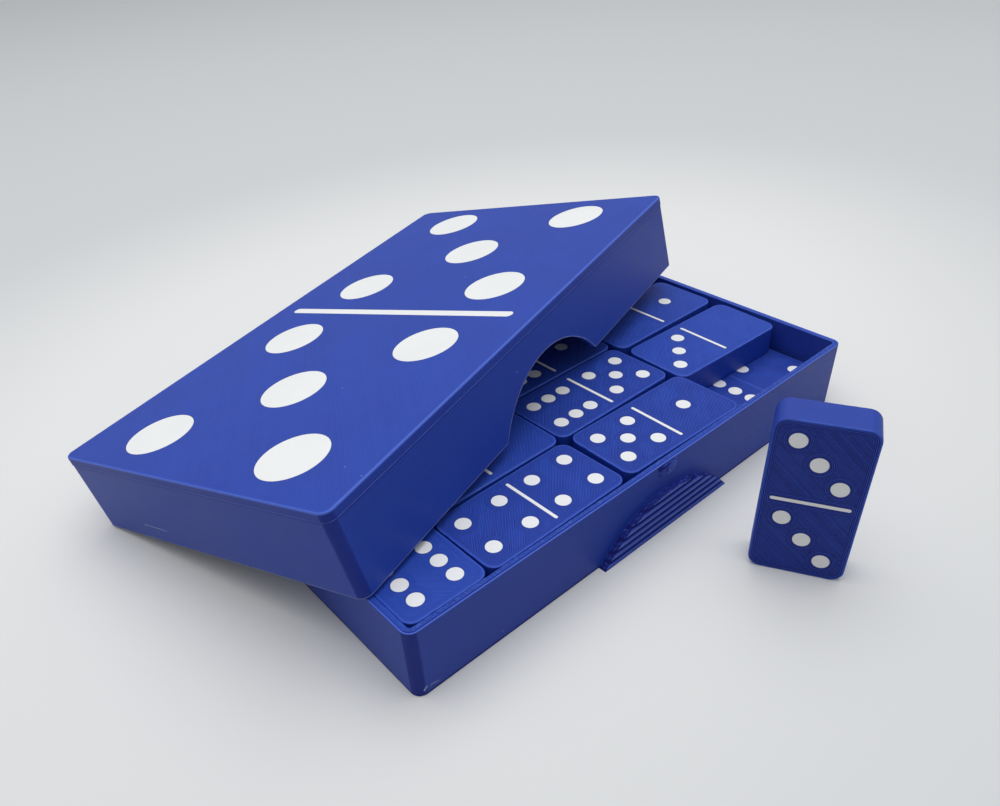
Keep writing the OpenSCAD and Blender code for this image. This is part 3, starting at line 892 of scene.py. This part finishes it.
def soft_room(horizon, zenith, front, shown):
    """A surround that is brighter overhead and dim in front. The camera sees it as pale as the floor."""
    world = bpy.data.worlds.new("soft_room")
    bpy.context.scene.world = world
    world.use_nodes = True
    tree = world.node_tree

    def ramp(source, low, high, at_low, at_high):
        made = tree.nodes.new("ShaderNodeMapRange")
        made.interpolation_type = "SMOOTHSTEP"
        for socket, value in enumerate((low, high, at_low, at_high), 1):
            made.inputs[socket].default_value = value
        tree.links.new(source, made.inputs[0])
        return made.outputs[0]

    place = tree.nodes.new("ShaderNodeTexCoord").outputs["Generated"]
    split = tree.nodes.new("ShaderNodeSeparateXYZ")
    facing = tree.nodes.new("ShaderNodeVectorMath")
    facing.operation = "DOT_PRODUCT"
    facing.inputs[1].default_value = (-0.75, -0.66, 0)
    product = tree.nodes.new("ShaderNodeMath")
    product.operation = "MULTIPLY"
    tree.links.new(place, split.inputs[0])
    tree.links.new(place, facing.inputs[0])
    tree.links.new(ramp(split.outputs["Z"], 0.0, 0.9, horizon, zenith), product.inputs[0])
    tree.links.new(ramp(facing.outputs["Value"], 0.0, 0.7, 1.0, front), product.inputs[1])
    rays = tree.nodes.new("ShaderNodeLightPath")
    seen = tree.nodes.new("ShaderNodeMix")
    tree.links.new(rays.outputs["Is Camera Ray"], seen.inputs[0])
    tree.links.new(product.outputs[0], seen.inputs[2])
    seen.inputs[3].default_value = shown
    sky = tree.nodes["Background"]
    sky.inputs["Color"].default_value = (0.97, 0.985, 1.0, 1)
    tree.links.new(seen.outputs[0], sky.inputs["Strength"])


def lamp(name, place, aim, size, power):
    data = bpy.data.lights.new(name, "AREA")
    data.shape, data.size, data.energy = "SQUARE", size, power
    item = bpy.data.objects.new(name, data)
    item.location = place
    item.rotation_euler = (Vector(aim) - Vector(place)).to_track_quat("-Z", "Y").to_euler()
    bpy.context.scene.collection.objects.link(item)


soft_room(0.30, 0.78, 0.72, 0.40)
lamp("overhead", (0.05, 0.12, 1.1), (0, 0, 0), 1.3, 6.6)
print("stage set")

# %% [markdown]
# ## Camera
# The camera stands in front of the tray's left end and looks down at it.

# %% Camera
RIGHT = Vector((0.751242, -0.657761, -0.054638))
DOWN = Vector((-0.435264, -0.431487, -0.790167))
AHEAD = Vector((0.496165, 0.617389, -0.610451))
STANDS_AT = Vector((-0.14827, -0.15890, 0.16362))
data = bpy.data.cameras.new("camera")
data.sensor_fit, data.sensor_width, data.lens = "HORIZONTAL", 36.0, 28.83
data.shift_x, data.shift_y = 0.0090, 0.0538
data.clip_start = 0.01
camera = bpy.data.objects.new("camera", data)
bpy.context.scene.collection.objects.link(camera)
camera.matrix_world = (Matrix.Translation(STANDS_AT)
                       @ Matrix((RIGHT, -DOWN, -AHEAD)).transposed().to_4x4())
bpy.context.scene.camera = camera
bpy.context.scene.view_settings.view_transform = "Standard"
print("camera ready")
